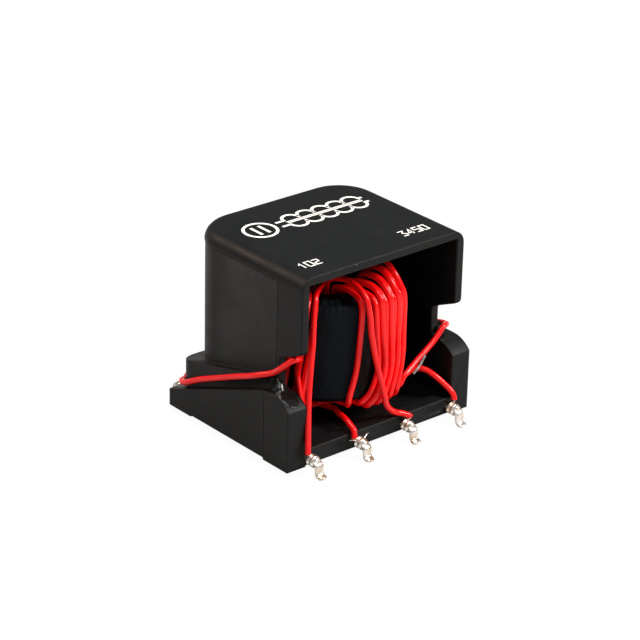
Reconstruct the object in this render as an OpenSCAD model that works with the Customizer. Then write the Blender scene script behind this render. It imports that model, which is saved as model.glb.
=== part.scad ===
// Surface-mount isolation transformer: a wound toroid lying in an open-fronted
// moulded case that stands on eight gull-wing leads.
// Right-handed frame in millimetres: +X to the right of the open front, +Y to the
// rear, +Z up. The origin is on the board, midway between the front and rear feet.

/* [Case] */
// Width of the case base
base_w = 14.7; // [14.5:0.05:15.5]
// Depth of the case base, front to rear
base_d = 12.05; // [12:0.05:12.8]
// Radius of the base's two rear corners
base_corner_r = 0.5; // [0.4:0.1:1]
// How far the wire ledge's sides stand in from the base's
ledge_in = 0.52; // [0.35:0.01:0.6]
// How far the wire ledge's rear stands in from the base's
ledge_back = 0.55; // [0.4:0.01:0.65]
// Radius of the ledge's two rear corners
ledge_corner_r = 1.2; // [0.8:0.1:1.6]
// How far the hood's sides stand in from the ledge's
hood_in = 0.41; // [0.35:0.01:0.45]
// How far the hood's rear stands in from the ledge's
hood_back = 0.3; // [0.25:0.01:0.35]
// Radius of the hood's two rear corners
hood_corner_r = 2.8; // [2.2:0.1:3.2]
// Height of the roof above the board
case_h = 12.83; // [12.7:0.01:13.4]
// Thickness of the hood's walls
wall_t = 0.52; // [0.45:0.01:0.6]
// Thickness of the roof
roof_t = 0.52; // [0.4:0.01:0.7]
// Radius of the roof's edge along the sides and the rear
roof_edge_r = 0.9; // [0.6:0.05:1.1]
// Height of the case's underside above the board
standoff = 0.48; // [0.45:0.01:0.6]
// How far the pads under the four corners stand below the underside
pad_drop = 0.1; // [0.05:0.01:0.15]
// Height of the front sill above the board
sill_h = 1.52; // [1.5:0.01:1.7]
// Thickness of the front sill, front to rear
sill_t = 0.9; // [0.7:0.05:1.2]
// Height of the cavity floor above the board
floor_h = 1.35; // [1.3:0.01:1.45]
// Depth of the step that the mould leaves behind its parting line
mould_step = 0.05; // [0.03:0.01:0.08]
// Distance of the parting line from the open front
parting_y = 2.33; // [2.3:0.01:2.6]

/* [Wire ledges] */
// Height of the shoulders at the front ends of the base
shoulder_h = 5.03; // [4.9:0.01:5.2]
// Radius of the shoulders' front edges
shoulder_r = 2.0; // [1.6:0.1:2.2]
// Height of the ramp on the base, where it starts
ramp_h = 5.0; // [4.9:0.01:5.03]
// Distance of the start of the ramp from the open front
ramp_y = 2.4; // [2.3:0.05:2.6]
// Slope of the ramp on the base, in degrees
ramp_slope = 20.9; // [20:0.1:21.5]
// Height of the top of the ledge at the parting line
ledge_h = 5.73; // [5.6:0.01:5.9]
// Slope of the top of the ledge, in degrees
ledge_slope = 13.8; // [13:0.1:15]
// Radius of the hollow at the front end of the ledge
ledge_hollow_r = 0.72; // [0.6:0.01:0.8]
// Depth of the wire notch in each side, from the open front
notch_d = 2.05; // [1.95:0.01:2.2]
// Height of the notch's top edge at the open front
notch_h = 7.95; // [7.8:0.01:8.1]
// Slope of the notch's top edge, in degrees
notch_slope = 24; // [22:0.5:26]
// Radius of the notch's top corner and of the jamb's foot above it
notch_r = 0.38; // [0.3:0.01:0.45]

/* [Core] */
// Outer diameter of the toroid
core_od = 9.45; // [9.2:0.05:9.6]
// Inner diameter of the toroid
core_bore_d = 4.75; // [4.6:0.05:5]
// Height of the toroid
core_h = 6.45; // [6.2:0.05:6.6]
// Height of the toroid's underside above the board
core_lift = 3.05; // [3:0.01:3.2]
// Radius of the toroid's edges
core_edge_r = 0.4; // [0.2:0.05:0.5]

/* [Wire] */
// Outside diameter of the insulated wire
wire_d = 0.37; // [0.33:0.01:0.4]
// Diameter of the bare conductor
bare_d = 0.16; // [0.12:0.01:0.2]
// Gap between neighbouring turns and between wire and core
wire_gap = 0.03; // [0.02:0.01:0.05]
// Spacing of the turns round the core's outer top edge, in degrees
turn_pitch = 4.4; // [4.3:0.05:4.6]
// Height of the slack bow of the turns over the core
bow_h = 1.15; // [1:0.05:1.25]

/* [Leads] */
// Pitch of the leads
lead_pitch = 3.81; // [3.75:0.01:3.85]
// Width of a lead
lead_w = 0.5; // [0.45:0.01:0.6]
// Thickness of a lead
lead_t = 0.25; // [0.2:0.01:0.3]
// Height of the middle of a lead where it leaves the case
lead_h = 0.93; // [0.9:0.01:0.95]
// Distance from the case to the middle of a lead's upright part
lead_out = 1.03; // [1:0.01:1.2]
// Distance from the case to the tip of a foot
foot_out = 1.55; // [1.5:0.01:1.8]
// Bend radius at the middle of a lead
bend_r = 0.28; // [0.2:0.01:0.3]
// Length of the tail of a lead that is moulded into the case
tail_len = 0.7; // [0.6:0.05:0.8]

/* [Solder and adhesive] */
// Outer radius of the wire wraps on a lead
wrap_r = 0.37; // [0.35:0.01:0.42]
// Distance from the case to the first wrap
wrap_y = 0.3; // [0.28:0.01:0.34]
// Distance between the two wraps
wrap_pitch = 0.36; // [0.33:0.01:0.38]
// Radius of the dab of adhesive under the core
bond_r = 1.0; // [0.7:0.05:1.1]
// Radius of the dab of adhesive at the left notch
left_dab_r = 0.5; // [0.4:0.01:0.52]
// Radius of the dab of adhesive at the right notch
right_dab_r = 0.33; // [0.25:0.01:0.35]

/* [Hidden] */
$fn = 64;
wire_sides = 8;
wire_steps = 2;
cut = 1;

black = [0.14, 0.14, 0.14];
ferrite = [0.22, 0.23, 0.24];
red = [0.86, 0.1, 0.12];
tin = [0.85, 0.84, 0.8];

front_y = -base_d / 2;
rear_y = base_d / 2;
ledge_w = base_w - 2 * ledge_in;
ledge_d = base_d - ledge_back;
hood_w = ledge_w - 2 * hood_in;
hood_d = ledge_d - hood_back;
cavity_w = hood_w - 2 * wall_t;
cavity_d = hood_d - wall_t;
ceiling_h = case_h - roof_t;

// ---------- case ----------

// Outline in plan: square at the front, rounded at the rear, and set in by the
// mould step behind the parting line.
module plan(w, d, r, step = mould_step) {
    translate([-w / 2, front_y]) square([w, parting_y]);
    translate([-w / 2 + step, front_y]) square([w - 2 * step, d - r]);
    translate([-w / 2 + step + r, front_y]) square([w - 2 * step - 2 * r, d]);
    for (side = [-1, 1])
        translate([side * (w / 2 - step - r), front_y + d - r]) circle(r);
}

// Carries a shape drawn in (distance from the open front, height) across the width.
module across(w) {
    translate([-w / 2, front_y, 0]) rotate([90, 0, 90]) linear_extrude(w) children();
}

// Half of the hood's section: a wall and a roof whose outer edge is rounded.
module hood_edge(reach, edge_r) {
    difference() {
        square([reach, case_h]);
        difference() {
            translate([reach - edge_r, case_h - edge_r]) square([edge_r + cut, edge_r + cut]);
            translate([reach - edge_r, case_h - edge_r]) circle(edge_r);
        }
    }
}

// The hood without its cavity, with the roof's edge carried round the rear corners.
module hood_block(w, d, r) {
    run = d - r;
    for (side = [0, 1]) mirror([side, 0, 0]) {
        translate([w / 2 - r, front_y + run, 0]) rotate_extrude() hood_edge(r, roof_edge_r);
        translate([0, front_y + run, 0]) rotate([90, 0, 0])
            linear_extrude(run) hood_edge(w / 2, roof_edge_r);
    }
    translate([r - w / 2, front_y, 0]) rotate([90, 0, 90])
        linear_extrude(w - 2 * r) hood_edge(d, roof_edge_r);
}

module hood() {
    crease_h = case_h - roof_edge_r;
    intersection() {
        hood_block(hood_w, hood_d, hood_corner_r);
        union() {
            translate([0, 0, crease_h]) linear_extrude(roof_edge_r + cut)
                translate([-hood_w / 2, front_y]) square([hood_w, hood_d]);
            translate([0, 0, standoff]) linear_extrude(crease_h - standoff)
                plan(hood_w, hood_d - mould_step, hood_corner_r - mould_step);
        }
    }
}

// The wire notch, drawn in (distance from the open front, height). Circles fill out
// its top corner and cut back the foot of the jamb in front of it.
module notch_shape() {
    reach = notch_r * sin(notch_slope);
    drop = notch_r / cos(notch_slope);
    top_y = notch_d - notch_r;
    top_h = notch_h - top_y * tan(notch_slope) - drop;
    foot_h = notch_h - notch_r * tan(notch_slope) + drop;
    polygon([[-cut, standoff + cut], [notch_d, standoff + cut], [notch_d, top_h], [top_y, top_h],
             [top_y + reach, top_h + notch_r * cos(notch_slope)], [0, notch_h], [-cut, notch_h]]);
    translate([top_y, top_h]) circle(notch_r);
    difference() {
        polygon([[-cut, notch_h - cut], [0, notch_h - cut], [0, notch_h],
                 [notch_r - reach, foot_h - notch_r * cos(notch_slope)],
                 [notch_r, foot_h], [-cut, foot_h]]);
        translate([notch_r, foot_h]) circle(notch_r);
    }
}

module ledge_shape() {
    ledge_front = parting_y - 0.08;
    far = ledge_d + cut;
    polygon([[0, standoff], [far, standoff],
             [far, ledge_h - (far - parting_y) * tan(ledge_slope)],
             [parting_y, ledge_h], [ledge_front, ledge_h], [ledge_front, shoulder_h],
             [0, shoulder_h]]);
    difference() {
        translate([ledge_front - ledge_hollow_r, shoulder_h])
            square([ledge_hollow_r, ledge_hollow_r]);
        translate([ledge_front - ledge_hollow_r, shoulder_h + ledge_hollow_r])
            circle(ledge_hollow_r);
    }
}

module base_shape() {
    shoulder_y = shoulder_r * 0.75;
    far = base_d + cut;
    difference() {
        polygon([[0, standoff], [far, standoff],
                 [far, ramp_h - (far - ramp_y) * tan(ramp_slope)],
                 [ramp_y, ramp_h], [ramp_y, shoulder_h], [0, shoulder_h]]);
        difference() {
            translate([-cut, shoulder_h - shoulder_r])
                square([shoulder_y + cut, shoulder_r + cut]);
            translate([shoulder_y, shoulder_h - shoulder_r]) circle(shoulder_r);
        }
    }
}

// A shape drawn in (distance from the open front, height), cut to a plan outline.
module tier(w, d, r) {
    intersection() {
        across(w + 2 * cut) children();
        linear_extrude(case_h) plan(w, d, r);
    }
}

module pads() {
    rear_pad = 2.5;
    translate([0, 0, standoff - pad_drop]) linear_extrude(pad_drop) intersection() {
        plan(base_w, base_d, base_corner_r);
        difference() {
            translate([-base_w / 2, front_y]) square([base_w, base_d]);
            square([cavity_w, base_d + cut], center = true);
            translate([-base_w, front_y + parting_y])
                square([2 * base_w, base_d - parting_y - rear_pad]);
        }
    }
}

module cavity() {
    back_r = hood_corner_r - wall_t;
    difference() {
        translate([0, 0, floor_h]) linear_extrude(ceiling_h - floor_h) {
            translate([-cavity_w / 2, front_y - cut])
                square([cavity_w, cavity_d - back_r + cut]);
            translate([back_r - cavity_w / 2, front_y - cut])
                square([cavity_w - 2 * back_r, cavity_d + cut]);
            for (side = [-1, 1])
                translate([side * (cavity_w / 2 - back_r), front_y + cavity_d - back_r])
                    circle(back_r);
        }
        translate([-cavity_w / 2 - cut, front_y - 2 * cut, 0])
            cube([cavity_w + 2 * cut, sill_t + 2 * cut, sill_h]);
    }
}

module ledge() tier(ledge_w, ledge_d, ledge_corner_r) intersection() {
    ledge_shape();
    union() {
        base_shape();
        translate([shoulder_r * 0.6, standoff]) square([base_d, case_h]);
    }
}

module case() color(black) difference() {
    union() {
        difference() {
            hood();
            across(base_w + 2 * cut) notch_shape();
        }
        ledge();
        tier(base_w, base_d, base_corner_r) base_shape();
        pads();
    }
    cavity();
    for (i = [0:3]) {
        lead_solid(i, -1);
        lead_solid(i, 1);
    }
}

// ---------- core ----------

core_x = 0;
core_y = front_y + cavity_d / 2;
core_top = core_lift + core_h;

module core() color(ferrite)
    translate([core_x, core_y, core_lift]) rotate_extrude($fn = 96)
        translate([core_bore_d / 2, 0]) rounded_rect((core_od - core_bore_d) / 2, core_h, core_edge_r);

module rounded_rect(w, h, r) {
    translate([r, 0]) square([w - 2 * r, h]);
    translate([0, r]) square([w, h - 2 * r]);
    for (x = [r, w - r], y = [r, h - r]) translate([x, y]) circle(r);
}

// ---------- leads ----------

function lead_x(i) = (i - 1.5) * lead_pitch;

// A quarter of a round bend, drawn about the bend's centre.
module bend() {
    intersection() {
        difference() {
            circle(bend_r + lead_t / 2);
            circle(bend_r - lead_t / 2);
        }
        square(bend_r + lead_t);
    }
}

// Side view of a lead, drawn in (distance out from the case, height).
module lead_side() {
    half = lead_t / 2;
    translate([-tail_len, lead_h - half]) square([tail_len + lead_out - bend_r, lead_t]);
    translate([lead_out - bend_r, lead_h - bend_r]) bend();
    translate([lead_out - half, half + bend_r])
        square([lead_t, lead_h - half - 2 * bend_r]);
    translate([lead_out + bend_r, half + bend_r]) rotate(180) bend();
    translate([lead_out + bend_r, 0]) square([foot_out - lead_out - bend_r, lead_t]);
}

// Plan view of a lead, whose foot has a rounded tip.
module lead_plan() {
    tip_r = lead_w / 2;
    translate([-tip_r, -tail_len]) square([lead_w, tail_len + foot_out - tip_r]);
    translate([0, foot_out - tip_r]) circle(tip_r);
}

// dir is -1 for a lead at the front and 1 for a lead at the rear.
module lead_solid(i, dir) {
    translate([lead_x(i), dir * base_d / 2, 0]) mirror([0, dir < 0 ? 1 : 0, 0])
        intersection() {
            translate([-lead_w / 2, 0, 0]) rotate([90, 0, 90]) linear_extrude(lead_w) lead_side();
            linear_extrude(lead_h + lead_t) lead_plan();
        }
}

module lead(i, dir) color(tin) lead_solid(i, dir);

// ---------- solder joints ----------

// Section of the wrapped and soldered wire, drawn in (radius, distance from the case).
module wrap_section() {
    strand = 0.15;
    for (n = [0, 1])
        translate([wrap_r - strand, wrap_y + n * wrap_pitch]) circle(strand);
    translate([0, wrap_y - strand * 0.6])
        square([wrap_r - strand, wrap_pitch + strand * 1.2]);
}

module joint(i, dir) color(tin)
    difference() {
        translate([lead_x(i), dir * base_d / 2, lead_h]) rotate([-90 * dir, 0, 0])
            rotate_extrude($fn = 32) wrap_section();
        lead_solid(i, dir);
    }

// ---------- adhesive ----------

module core_bond() color(black)
    translate([core_x, core_y + (core_od + core_bore_d) / 4, floor_h])
        cylinder(r = bond_r, h = core_lift - floor_h);

// A dab in the hollow at the front end of the ledge, shaped by the walls round it.
module wire_bond(x, y, z, r) color(black) difference() {
    translate([x, front_y + y, z]) sphere(r);
    ledge();
    tier(base_w, base_d, base_corner_r) base_shape();
    translate([-hood_w / 2, front_y + notch_d, 0]) cube([hood_w, base_d, case_h]);
}

// ---------- wire ----------

wire_r = wire_d / 2;
step = wire_d + wire_gap;
face_r = core_od / 2 + wire_r + wire_gap;
hole_r = core_bore_d / 2 - wire_r - wire_gap;
hole_pitch = 1.04 * step / hole_r * 180 / PI;
edge_run = core_edge_r + wire_r + wire_gap;
over_z = core_top + wire_r + wire_gap;
under_z = core_lift - wire_r - wire_gap;

function flat(lists) = [for (list = lists) for (item = list) item];
function reverse(list) = [for (i = [len(list) - 1:-1:0]) list[i]];
function at(r, angle, z) = [core_x + r * cos(angle), core_y + r * sin(angle), z];
// A radius under the core, share of the way from the hole to the face.
function mid(share) = hole_r + (face_r - hole_r) * share;
// A point beside a front lead, in front of or behind the case's open front.
function by_lead(i, x, y, z) = [lead_x(i) + x, front_y + y, z];
// A height up the core, share of the way from its underside to its top.
function up(share) = core_lift + core_h * share;

// One pass of a turn, from the outer bottom edge up the face, over the core and down
// the hole. spots are its angles at the bottom edge, just above it, at mid height and
// at the top edge, eye is its angle in the hole, lift how far it stands out over its
// neighbours at the foot, and slack how loosely it lies, from 0 to 1.
function rise(spots, eye, lift, slack) =
    let (bow = slack * bow_h, bulge = 0.02 + slack * 0.08, out = face_r + bulge) [
    at(face_r - edge_run, spots[0], under_z - lift * 0.75),
    at(face_r - 0.16 + lift * 0.6, spots[0], core_lift - 0.06 - lift * 0.5),
    at(face_r + 0.03 + lift, spots[1], core_lift + 0.65),
    at(out + lift * 0.8, spots[2], core_lift + core_h * 0.35),
    at(out + 0.03 + lift * 0.4, spots[2] * 0.35 + spots[3] * 0.65, core_lift + core_h * 0.68),
    at(out + lift * 0.25, spots[3], core_top - 0.4),
    at(face_r - 0.15 - 0.08 * slack + lift * 0.45, spots[3],
       core_top + 0.06 + 0.13 * slack + lift * 0.35),
    at(face_r - edge_run, spots[3] * 0.97 + eye * 0.03,
       over_z + 0.03 + bow * 0.55 + lift * 0.8),
    at((face_r + hole_r) / 2, spots[3] * 0.75 + eye * 0.25,
       over_z + 0.03 + bow * 0.97 + lift * 0.75),
    at(hole_r + 0.36, eye * 0.85 + spots[3] * 0.15, over_z + bow * 0.55 + lift * 0.7),
    at(hole_r, eye, core_top - 0.42),
    at(hole_r, eye, core_lift + core_h * 0.5),
    at(hole_r, eye, core_lift + 0.5)
];

// The way under the core, from the hole out to the foot of the next pass.
function under(eye, foot, lift) = [
    at(hole_r + 0.45, eye * 0.85 + foot * 0.15, under_z - 0.04 - lift * 0.4),
    at((face_r + hole_r) / 2, eye * 0.47 + foot * 0.53, under_z - lift * 0.85)
];

// Down the hole at one angle, for a lead that has come over the core.
function down(eye) = [
    at(hole_r, eye, core_top - 0.42),
    at(hole_r, eye, core_lift + core_h * 0.5),
    at(hole_r, eye, core_lift + 0.5)
];

// The end of a wire at its joint, leaning sideways by lean degrees: the bare conductor
// stands on the wrap and goes into the insulation.
function wire_end(i, dir, lean) = [
    for (rise = [0.01, wire_r + wire_gap]) [
        lead_x(i) + (wrap_r + rise) * sin(lean),
        dir * (base_d / 2 + wrap_y),
        lead_h + (wrap_r + rise) * cos(lean)]];

// Eyes in the hole, numbered round it from the front right.
function eye(n) = -108 - n * hole_pitch;

// Front left winding: from lead 1 up across the open front, over the core, round
// its left side, and out under the core to lead 2.
left_turns = 5;
function left_spots(k) = [for (first = [-146, -146, -143.5, -138.5])
    first - k * 5.3 - max(k - 1, 0) * 3.5];

front_left_path = flat([
    wire_end(0, -1, -28),
    [by_lead(0, -0.215, -0.22, lead_h + 0.97),
     by_lead(0, -0.085, -0.05, up(0.008)),
     by_lead(0, 0.115, 0.2, up(0.256)),
     by_lead(0, 0.465, 0.5, up(0.52)),
     by_lead(0, 0.815, 0.75, up(0.783)),
     by_lead(0, 1.065, 1.0, up(1.031)),
     by_lead(0, 1.615, 1.5, up(1.194)),
     at(mid(0.446), -135, over_z + 0.78),
     at(hole_r + 0.42, -139, over_z + 0.42)],
    down(eye(3)),
    flat([for (k = [0:left_turns - 1]) concat(
        under(eye(3 + k), left_spots(k)[0], 0),
        rise(left_spots(k), eye(4 + k), 0, 0.15 + 0.05 * k))]),
    [at(hole_r + 0.3, eye(7.7), under_z - 0.9 * step),
     at(mid(0.122), -168, under_z - 2 * step),
     at(mid(0.086), -136, under_z - 2.35 * step),
     by_lead(1, 0.405, 2.64, floor_h + 0.58),
     by_lead(1, 0.065, 1.82, floor_h + 0.73),
     by_lead(1, -0.255, 0.8, floor_h + 0.84),
     by_lead(1, -0.305, 0.3, floor_h + 0.67),
     by_lead(1, -0.295, -0.1, lead_h + 0.83)],
    reverse(wire_end(1, -1, -42))
]);

// Right-hand bundle, shared by two windings: its passes stand side by side over the
// core and close up just above its foot, every second one in front.
bundle = 8;
function right_spots(k) = [
    -101.6 + k * turn_pitch * 1.04,
    -95 + k * turn_pitch * 0.74,
    -89 + k * turn_pitch * 0.72,
    -93 + k * turn_pitch];
function right_lift(k) = (k % 2) * 0.34;
function right_pass(k) = rise(right_spots(k), eye(-k), right_lift(k),
                              0.15 + 0.78 * k / (bundle - 1));

// Front right winding: from lead 3 up in front of the bundle, over the core, and out
// from under it to lead 4.
first_share = 4;
front_right_path = flat([
    wire_end(2, -1, 34),
    [by_lead(2, -0.085, -0.12, lead_h + 0.73),
     by_lead(2, -0.505, 0.02, sill_h + 0.28),
     by_lead(2, -0.985, 0.02, sill_h + 0.6),
     by_lead(2, -1.505, -0.15, up(-0.057)),
     by_lead(2, -1.855, -0.36, up(0.039)),
     by_lead(2, -2.225, -0.38, up(0.225)),
     by_lead(2, -2.645, -0.3, up(0.473)),
     by_lead(2, -2.905, -0.12, up(0.736)),
     by_lead(2, -2.955, 0.06, up(0.953)),
     by_lead(2, -3.005, 0.42, up(1.101)),
     by_lead(2, -3.025, 1.35, up(1.174)),
     by_lead(2, -3.105, 2.3, up(1.186)),
     at(hole_r + 0.35, -127, over_z + 0.65)],
    down(eye(2)),
    under(eye(2), -112.5, 0),
    rise([-112.5, -112, -107.7, -104.5], eye(1), 0, 0.25),
    flat([for (k = [0:first_share - 1]) concat(
        under(eye(1 - k), right_spots(k)[0], right_lift(k)),
        right_pass(k))]),
    [at(hole_r + 0.05, eye(-3), core_lift - 0.05),
     at(hole_r + 0.3, -71, under_z - 1.35 * step),
     at(mid(0.338), -60, under_z - 1.75 * step),
     at(mid(0.59), -50, under_z - 1.6 * step),
     at(mid(0.842), -44.5, under_z - 0.8 * step),
     by_lead(3, -1.865, 1.93, floor_h + 1.65),
     by_lead(3, -1.415, 1.7, floor_h + 1.97),
     by_lead(3, -0.965, 1.2, floor_h + 1.95),
     by_lead(3, -0.495, 0.6, floor_h + 1.5),
     by_lead(3, 0.005, 0.1, floor_h + 0.85),
     by_lead(3, 0.185, -0.16, lead_h + 0.91)],
    reverse(wire_end(3, -1, 22))
]);

// Rear winding: from the rear left lead forward along the ledge, in through the left
// notch, down the core's face and under it to the bundle, and from the bundle's foot
// out through the right notch to the rear right lead.
side_x = ledge_w / 2 + wire_r + wire_gap;
hood_x = hood_w / 2 + wire_r + wire_gap;
turn_r = ledge_corner_r + wire_r + wire_gap;
function ramp_top(y) = ramp_h - (y - ramp_y) * tan(ramp_slope);
function ledge_top(y) = ledge_h - (y - parting_y) * tan(ledge_slope);
// A point on the ledge's side, share of the way up from the ramp to the ledge's top.
function on_ledge(side, y, share) = [
    side * side_x, front_y + y, ramp_top(y) * (1 - share) + ledge_top(y) * share];
// A point on the ledge's rear corner, lift above the ramp.
function on_corner(side, angle, lift) =
    let (y = ledge_d - ledge_corner_r + turn_r * sin(angle)) [
    side * (ledge_w / 2 - ledge_corner_r + turn_r * cos(angle)),
    front_y + y, ramp_top(y) + lift];
// From a rear lead round the corner and forward to where the wire climbs the ledge.
function rear_run(side, i) = flat([
    wire_end(i, 1, side * -20),
    [[side * (abs(lead_x(i)) - 0.2), rear_y + 0.08, lead_h + 0.86],
     on_corner(side, 88, 0.4),
     on_corner(side, 45, 0.45),
     on_corner(side, 5, 0.41),
     on_ledge(side, ledge_d - 2.6, 0.39),
     on_ledge(side, ledge_d - 4.6, 0.565),
     on_ledge(side, ledge_d - 6.2, 0.76)]
]);

rear_path = flat([
    rear_run(-1, 0),
    [[-side_x, front_y + 4.3, ledge_top(4.3) - 0.1],
     [-side_x + 0.03, front_y + 3.3, ledge_top(3.3) + 0.11],
     [-hood_x - 0.02, front_y + 2.4, ledge_top(2.4) + 0.26],
     [-hood_x, front_y + 1.55, notch_h - 1.32],
     [-hood_x + 0.3, front_y + 0.85, notch_h - 0.66],
     [-hood_x + 0.885, front_y + 0.95, notch_h - 0.8],
     by_lead(0, 0.515, 1.6, up(0.535)),
     by_lead(0, 0.915, 2.25, up(0.411)),
     at(face_r + step + 0.02, -148, up(0.287)),
     at(face_r + step, -146, up(0.101)),
     at(face_r + 0.24, -145, core_lift - 0.15),
     at(face_r - 0.3, -144, under_z - step),
     at(mid(0.6), -144.5, under_z - 1.15 * step),
     at(mid(0.18), -126, under_z - 1.4 * step),
     at(mid(0.16), -101, under_z - 1.75 * step),
     at(mid(0.338), -81, under_z - 1.6 * step),
     at(mid(0.554), -81, under_z - 0.4 * step)],
    flat([for (k = [first_share:bundle - 1]) concat(
        k == first_share ? [] : under(eye(1 - k), right_spots(k)[0], right_lift(k)),
        right_pass(k))]),
    [at(hole_r + 0.45, -34, under_z - 0.04),
     at(mid(0.518), -52, under_z),
     at(mid(0.86), -62, under_z),
     at(face_r + 0.19, -65.8, up(0.031)),
     at(face_r + 0.396, -62.7, up(0.116)),
     at(face_r + 0.753, -52.1, up(0.186)),
     [hood_x - 1.435, front_y + 1.12, ledge_h - 0.64],
     [hood_x - 0.5, front_y + 1.26, shoulder_h + 0.76],
     [hood_x - 0.1, front_y + 1.45, shoulder_h + 0.76],
     [side_x - 0.095, front_y + 1.83, shoulder_h + 0.6],
     [side_x, front_y + 2.6, shoulder_h + 0.4],
     [side_x, front_y + 3.6, ledge_top(3.6) - 0.3]],
    reverse(rear_run(1, 3))
]);

// Catmull-Rom curve through a list of points.
function curve_point(p, i, t) =
    let (n = len(p) - 1, a = p[max(i - 1, 0)], b = p[i], c = p[i + 1], d = p[min(i + 2, n)])
    0.5 * (2 * b + (c - a) * t + (2 * a - 5 * b + 4 * c - d) * t * t
           + (3 * b - a - 3 * c + d) * t * t * t);
function curve(p, n) = concat(
    [for (i = [0:len(p) - 2], s = [0:n - 1]) curve_point(p, i, s / n)],
    [p[len(p) - 1]]);

function unit(v) = v / norm(v);
function tangents(p) = [for (i = [0:len(p) - 1])
    unit(p[min(i + 1, len(p) - 1)] - p[max(i - 1, 0)])];
// Side vectors carried along the path without twist.
function sides(t, i = 0, last = [0.6, 0.8, 0], done = []) =
    i == len(t) ? done :
    let (s = unit(last - (last * t[i]) * t[i])) sides(t, i + 1, s, concat(done, [s]));

// Tube of radius r[i] at each point of a path.
module tube(p, r) {
    t = tangents(p);
    s = sides(t);
    n = wire_sides;
    m = len(p);
    points = [for (i = [0:m - 1], j = [0:n - 1])
        p[i] + r[i] * (cos(360 * j / n) * s[i] + sin(360 * j / n) * cross(t[i], s[i]))];
    skin = [for (i = [0:m - 2], j = [0:n - 1])
        [i * n + j, i * n + (j + 1) % n, (i + 1) * n + (j + 1) % n, (i + 1) * n + j]];
    polyhedron(points, concat([[for (j = [0:n - 1]) n - 1 - j]], skin,
                              [[for (j = [0:n - 1]) (m - 1) * n + j]]));
}

// A winding: insulated wire whose two ends are stripped over the last stretch.
module winding(path) color(red) {
    p = curve(path, wire_steps);
    last = len(p) - 1;
    tube(p, [for (i = [0:last])
        i <= wire_steps || i >= last - wire_steps ? bare_d / 2 : wire_r]);
}

case();
core();
winding(front_left_path);  // front_left_winding
winding(front_right_path);  // front_right_winding
winding(rear_path);  // rear_winding
lead(0, -1);  // front_lead_1
lead(1, -1);  // front_lead_2
lead(2, -1);  // front_lead_3
lead(3, -1);  // front_lead_4
lead(0, 1);  // rear_lead_1
lead(1, 1);  // rear_lead_2
lead(2, 1);  // rear_lead_3
lead(3, 1);  // rear_lead_4
joint(0, -1);  // front_joint_1
joint(1, -1);  // front_joint_2
joint(2, -1);  // front_joint_3
joint(3, -1);  // front_joint_4
joint(0, 1);  // rear_joint_1
joint(3, 1);  // rear_joint_4
core_bond();
wire_bond(-(hood_w / 2 + 0.2), 1.75, shoulder_h, left_dab_r);  // left_wire_bond
wire_bond(hood_w / 2 + 0.05, 1.98, shoulder_h + 0.28, right_dab_r);  // right_wire_bond
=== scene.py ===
import math
import bmesh
import bpy
import numpy as np
from mathutils import Matrix, Vector


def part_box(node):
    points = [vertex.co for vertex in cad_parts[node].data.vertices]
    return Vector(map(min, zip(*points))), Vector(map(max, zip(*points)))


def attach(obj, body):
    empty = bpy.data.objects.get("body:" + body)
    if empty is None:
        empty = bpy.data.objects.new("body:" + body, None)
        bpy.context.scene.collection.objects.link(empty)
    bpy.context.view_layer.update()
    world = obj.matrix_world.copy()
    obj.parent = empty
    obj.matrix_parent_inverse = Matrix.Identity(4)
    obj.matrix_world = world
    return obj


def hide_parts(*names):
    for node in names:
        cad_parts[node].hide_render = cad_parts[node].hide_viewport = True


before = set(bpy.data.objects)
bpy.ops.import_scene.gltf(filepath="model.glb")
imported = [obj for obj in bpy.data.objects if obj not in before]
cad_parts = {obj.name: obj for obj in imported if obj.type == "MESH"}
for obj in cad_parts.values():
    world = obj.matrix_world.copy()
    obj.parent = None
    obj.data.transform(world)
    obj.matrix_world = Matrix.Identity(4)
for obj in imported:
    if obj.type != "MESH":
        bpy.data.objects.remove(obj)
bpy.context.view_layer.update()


# ---------------------------------------------------------------------------
# Camera: a long lens well away from the part, turned 41 degrees from the open
# front towards its left side and looking down on the roof at 25 degrees.
view_turn, view_down, view_roll = math.radians(40.607), math.radians(24.825), math.radians(1.375)
camera_place = (-0.101112, -0.118097, 0.078192)
lens = bpy.data.cameras.new("camera")
lens.sensor_width = 36.0
lens.lens = 154.85
lens.clip_start = 0.01
camera = bpy.data.objects.new("camera", lens)
bpy.context.scene.collection.objects.link(camera)
camera.matrix_world = (Matrix.Translation(camera_place)
                       @ Matrix.Rotation(-view_turn, 4, "Z")
                       @ Matrix.Rotation(math.radians(90) - view_down, 4, "X")
                       @ Matrix.Rotation(view_roll, 4, "Z"))
bpy.context.scene.camera = camera


# ---------------------------------------------------------------------------
# Table and light: a white sheet under the part, one wide soft box overhead, a
# smaller one to the front right, a weak warm one behind, and an even white room.
def linear(hex_colour):
    """sRGB hex to linear: each channel c becomes c/12.92 or ((c+0.055)/1.055)^2.4."""
    channels = [int(hex_colour[i:i + 2], 16) / 255 for i in (1, 3, 5)]
    return tuple(c / 12.92 if c <= 0.04045 else ((c + 0.055) / 1.055) ** 2.4
                 for c in channels) + (1.0,)


def new_material(name):
    """An empty node material with its output, and the Principled shader on it."""
    material = bpy.data.materials.new(name)
    material.use_nodes = True
    tree = material.node_tree
    tree.nodes.clear()
    output = tree.nodes.new("ShaderNodeOutputMaterial")
    shader = tree.nodes.new("ShaderNodeBsdfPrincipled")
    tree.links.new(shader.outputs[0], output.inputs["Surface"])
    return material, tree, shader, output


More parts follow.
